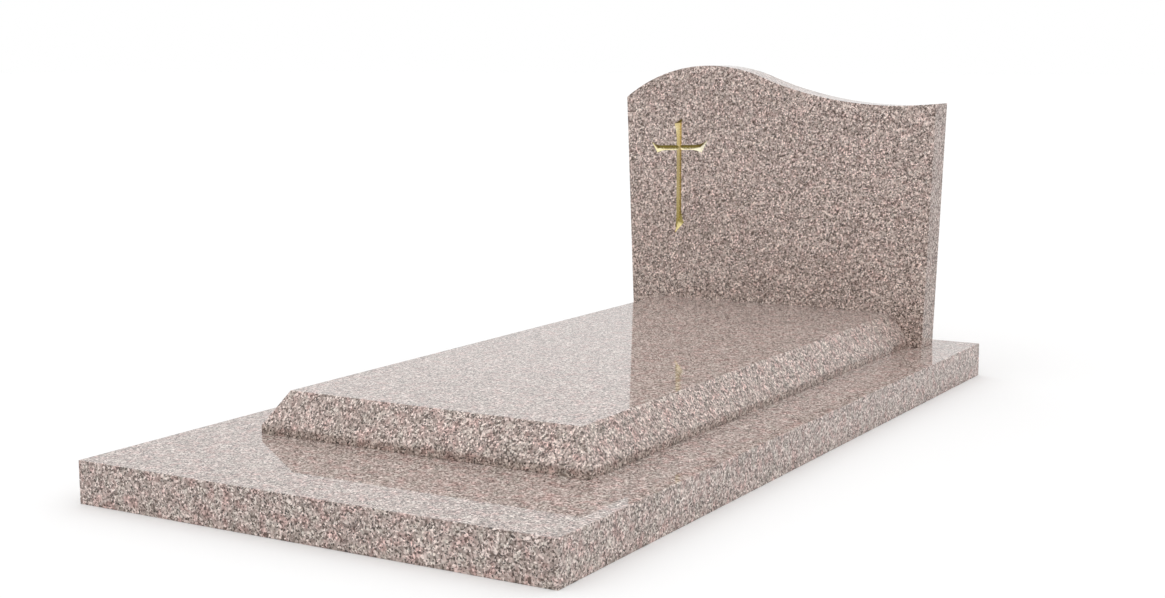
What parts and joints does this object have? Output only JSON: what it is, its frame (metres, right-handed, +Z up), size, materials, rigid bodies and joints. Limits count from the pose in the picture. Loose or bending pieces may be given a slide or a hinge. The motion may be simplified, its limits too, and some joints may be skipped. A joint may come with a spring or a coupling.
{
  "type": "granite grave monument",
  "caption": "Polished granite grave monument: base slab, bevelled ledger and a wave-topped headstone with a gilded V-cut cross.",
  "frame": {"origin": "middle of the base slab's underside, on the surface that the monument stands on", "axes": "+Z up; +Y along the grave, from the foot end towards the headstone; +X across it, to the right of someone who faces the headstone"},
  "size_m": [1, 2, 0.7623],
  "materials": {
    "granite": "polished",
    "gilding": "satin"
  },
  "bodies": {
    "root": {"base_slab": "granite", "ledger_slab": "granite", "headstone": "granite"}
  },
  "joints": []
}
